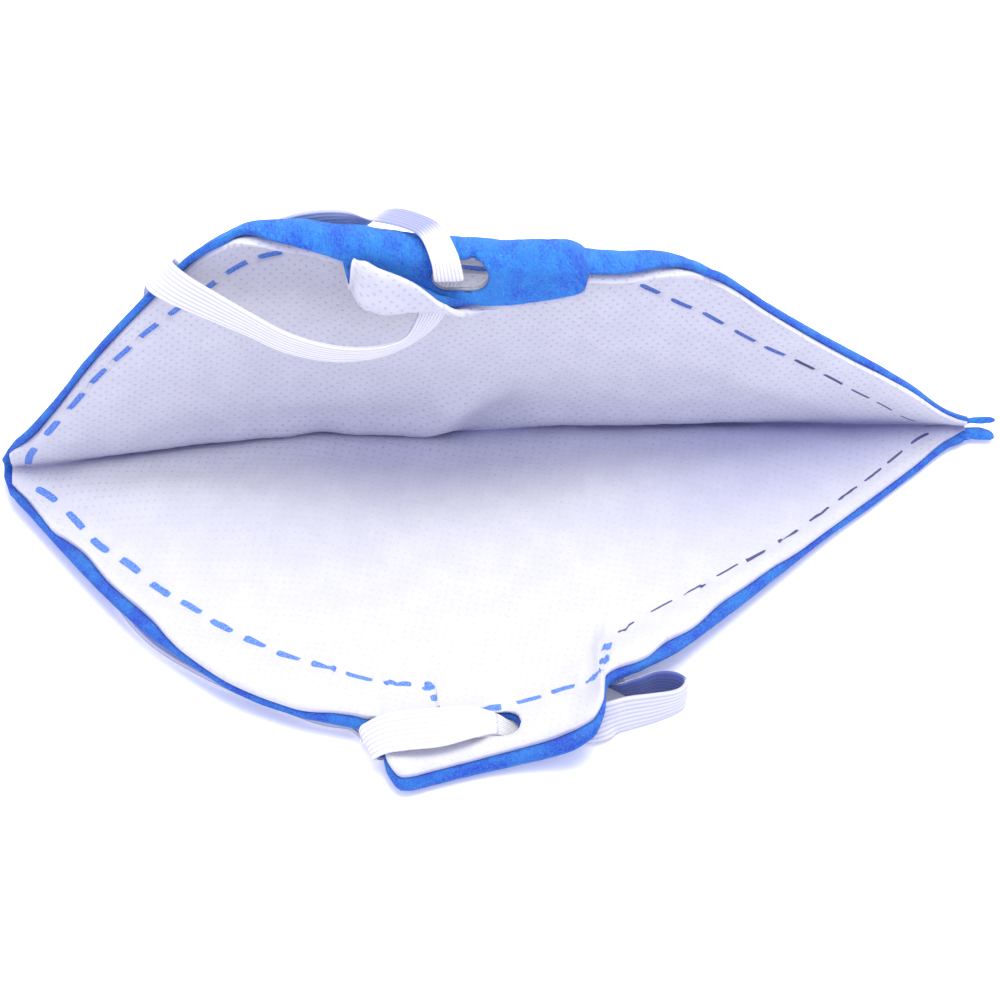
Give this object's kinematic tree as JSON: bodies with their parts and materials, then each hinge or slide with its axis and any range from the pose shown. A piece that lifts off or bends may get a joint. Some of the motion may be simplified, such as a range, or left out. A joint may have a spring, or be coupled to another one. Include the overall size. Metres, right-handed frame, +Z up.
{
  "type": "respirator mask",
  "caption": "Vertical fold-flat half-face respirator mask of needle felt with a point-bonded lining, threading tabs and a loop of flat ribbed elastic, lying open on its lower panel.",
  "frame": {"origin": "centre of the two felt panels' bounding box, on the surface that the lower panel lies on", "axes": "+X along the crease towards the end with the two felt tails, +Z up, the mouth opening faces -Y"},
  "size_m": [0.2082, 0.1096, 0.0722],
  "materials": {
    "felt": "fuzzy needle felt",
    "lining": "point-bonded cover",
    "elastic": "ribbed flat elastic"
  },
  "bodies": {
    "root": {"outer_shell": "felt", "inner_lining": "lining", "head_elastic": "elastic"}
  },
  "joints": []
}
